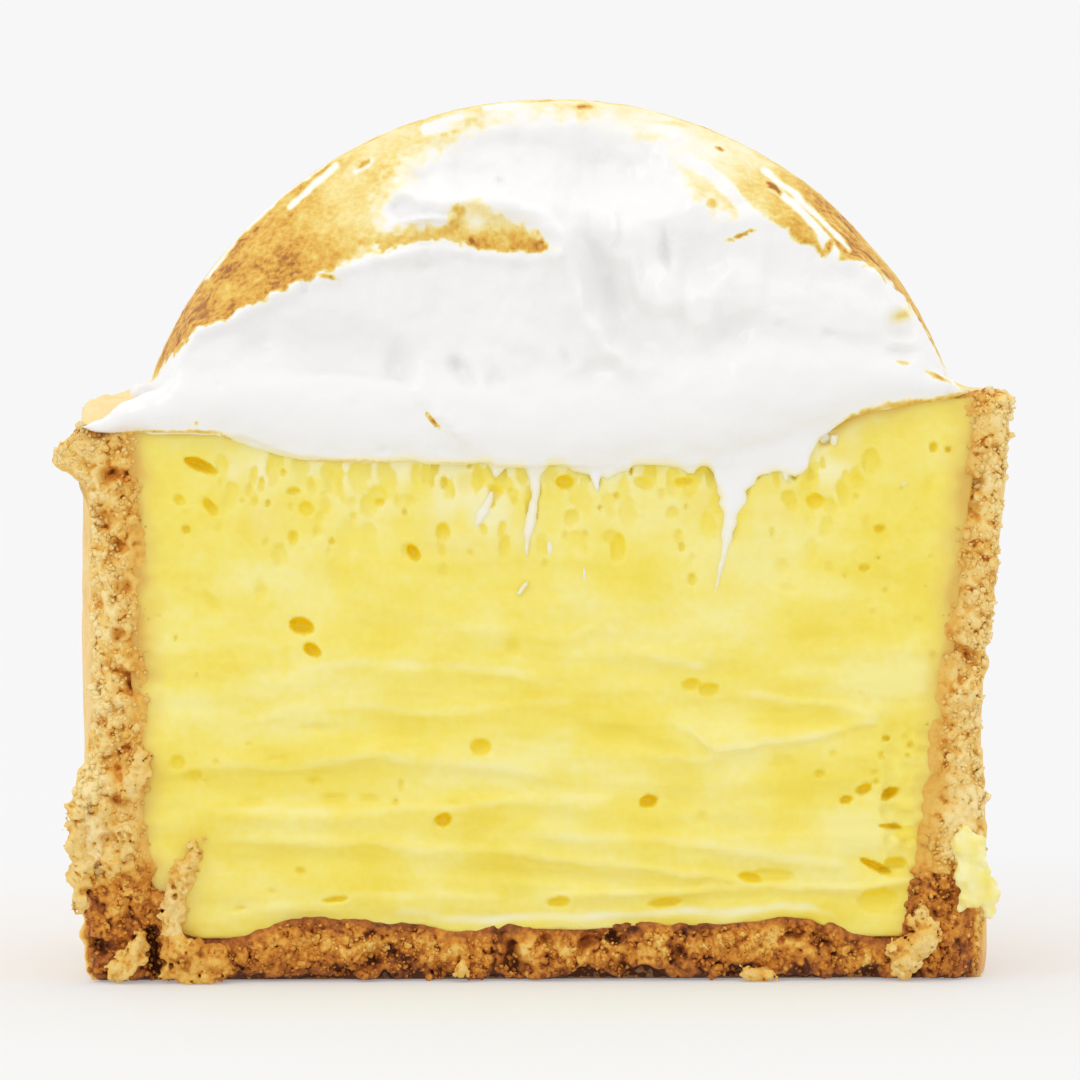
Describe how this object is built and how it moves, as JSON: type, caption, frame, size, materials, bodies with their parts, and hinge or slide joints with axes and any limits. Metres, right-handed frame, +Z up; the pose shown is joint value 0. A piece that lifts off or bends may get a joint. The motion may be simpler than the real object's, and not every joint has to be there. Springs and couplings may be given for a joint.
{
  "type": "lemon meringue tart half",
  "caption": "Half of a deep round lemon meringue tart: short-pastry shell, lemon curd filling and a torched meringue dome, standing with its cut face forward.",
  "frame": {"origin": "centre of the whole tart's round base, on the face that it stands on", "axes": "+Z up along the tart's axis, +X to the right along the cut face, -Y out of the cut face"},
  "size_m": [0.0802, 0.0548, 0.0746],
  "materials": {
    "short_pastry": "baked, crumbly short pastry, golden tan outside",
    "lemon_curd": "soft, moist, satin lemon curd with small air holes",
    "meringue": "soft white meringue, satin where cut, torched golden brown on the dome"
  },
  "bodies": {
    "root": {"pastry_shell": "short_pastry", "lemon_filling": "lemon_curd", "meringue": "meringue"}
  },
  "joints": []
}
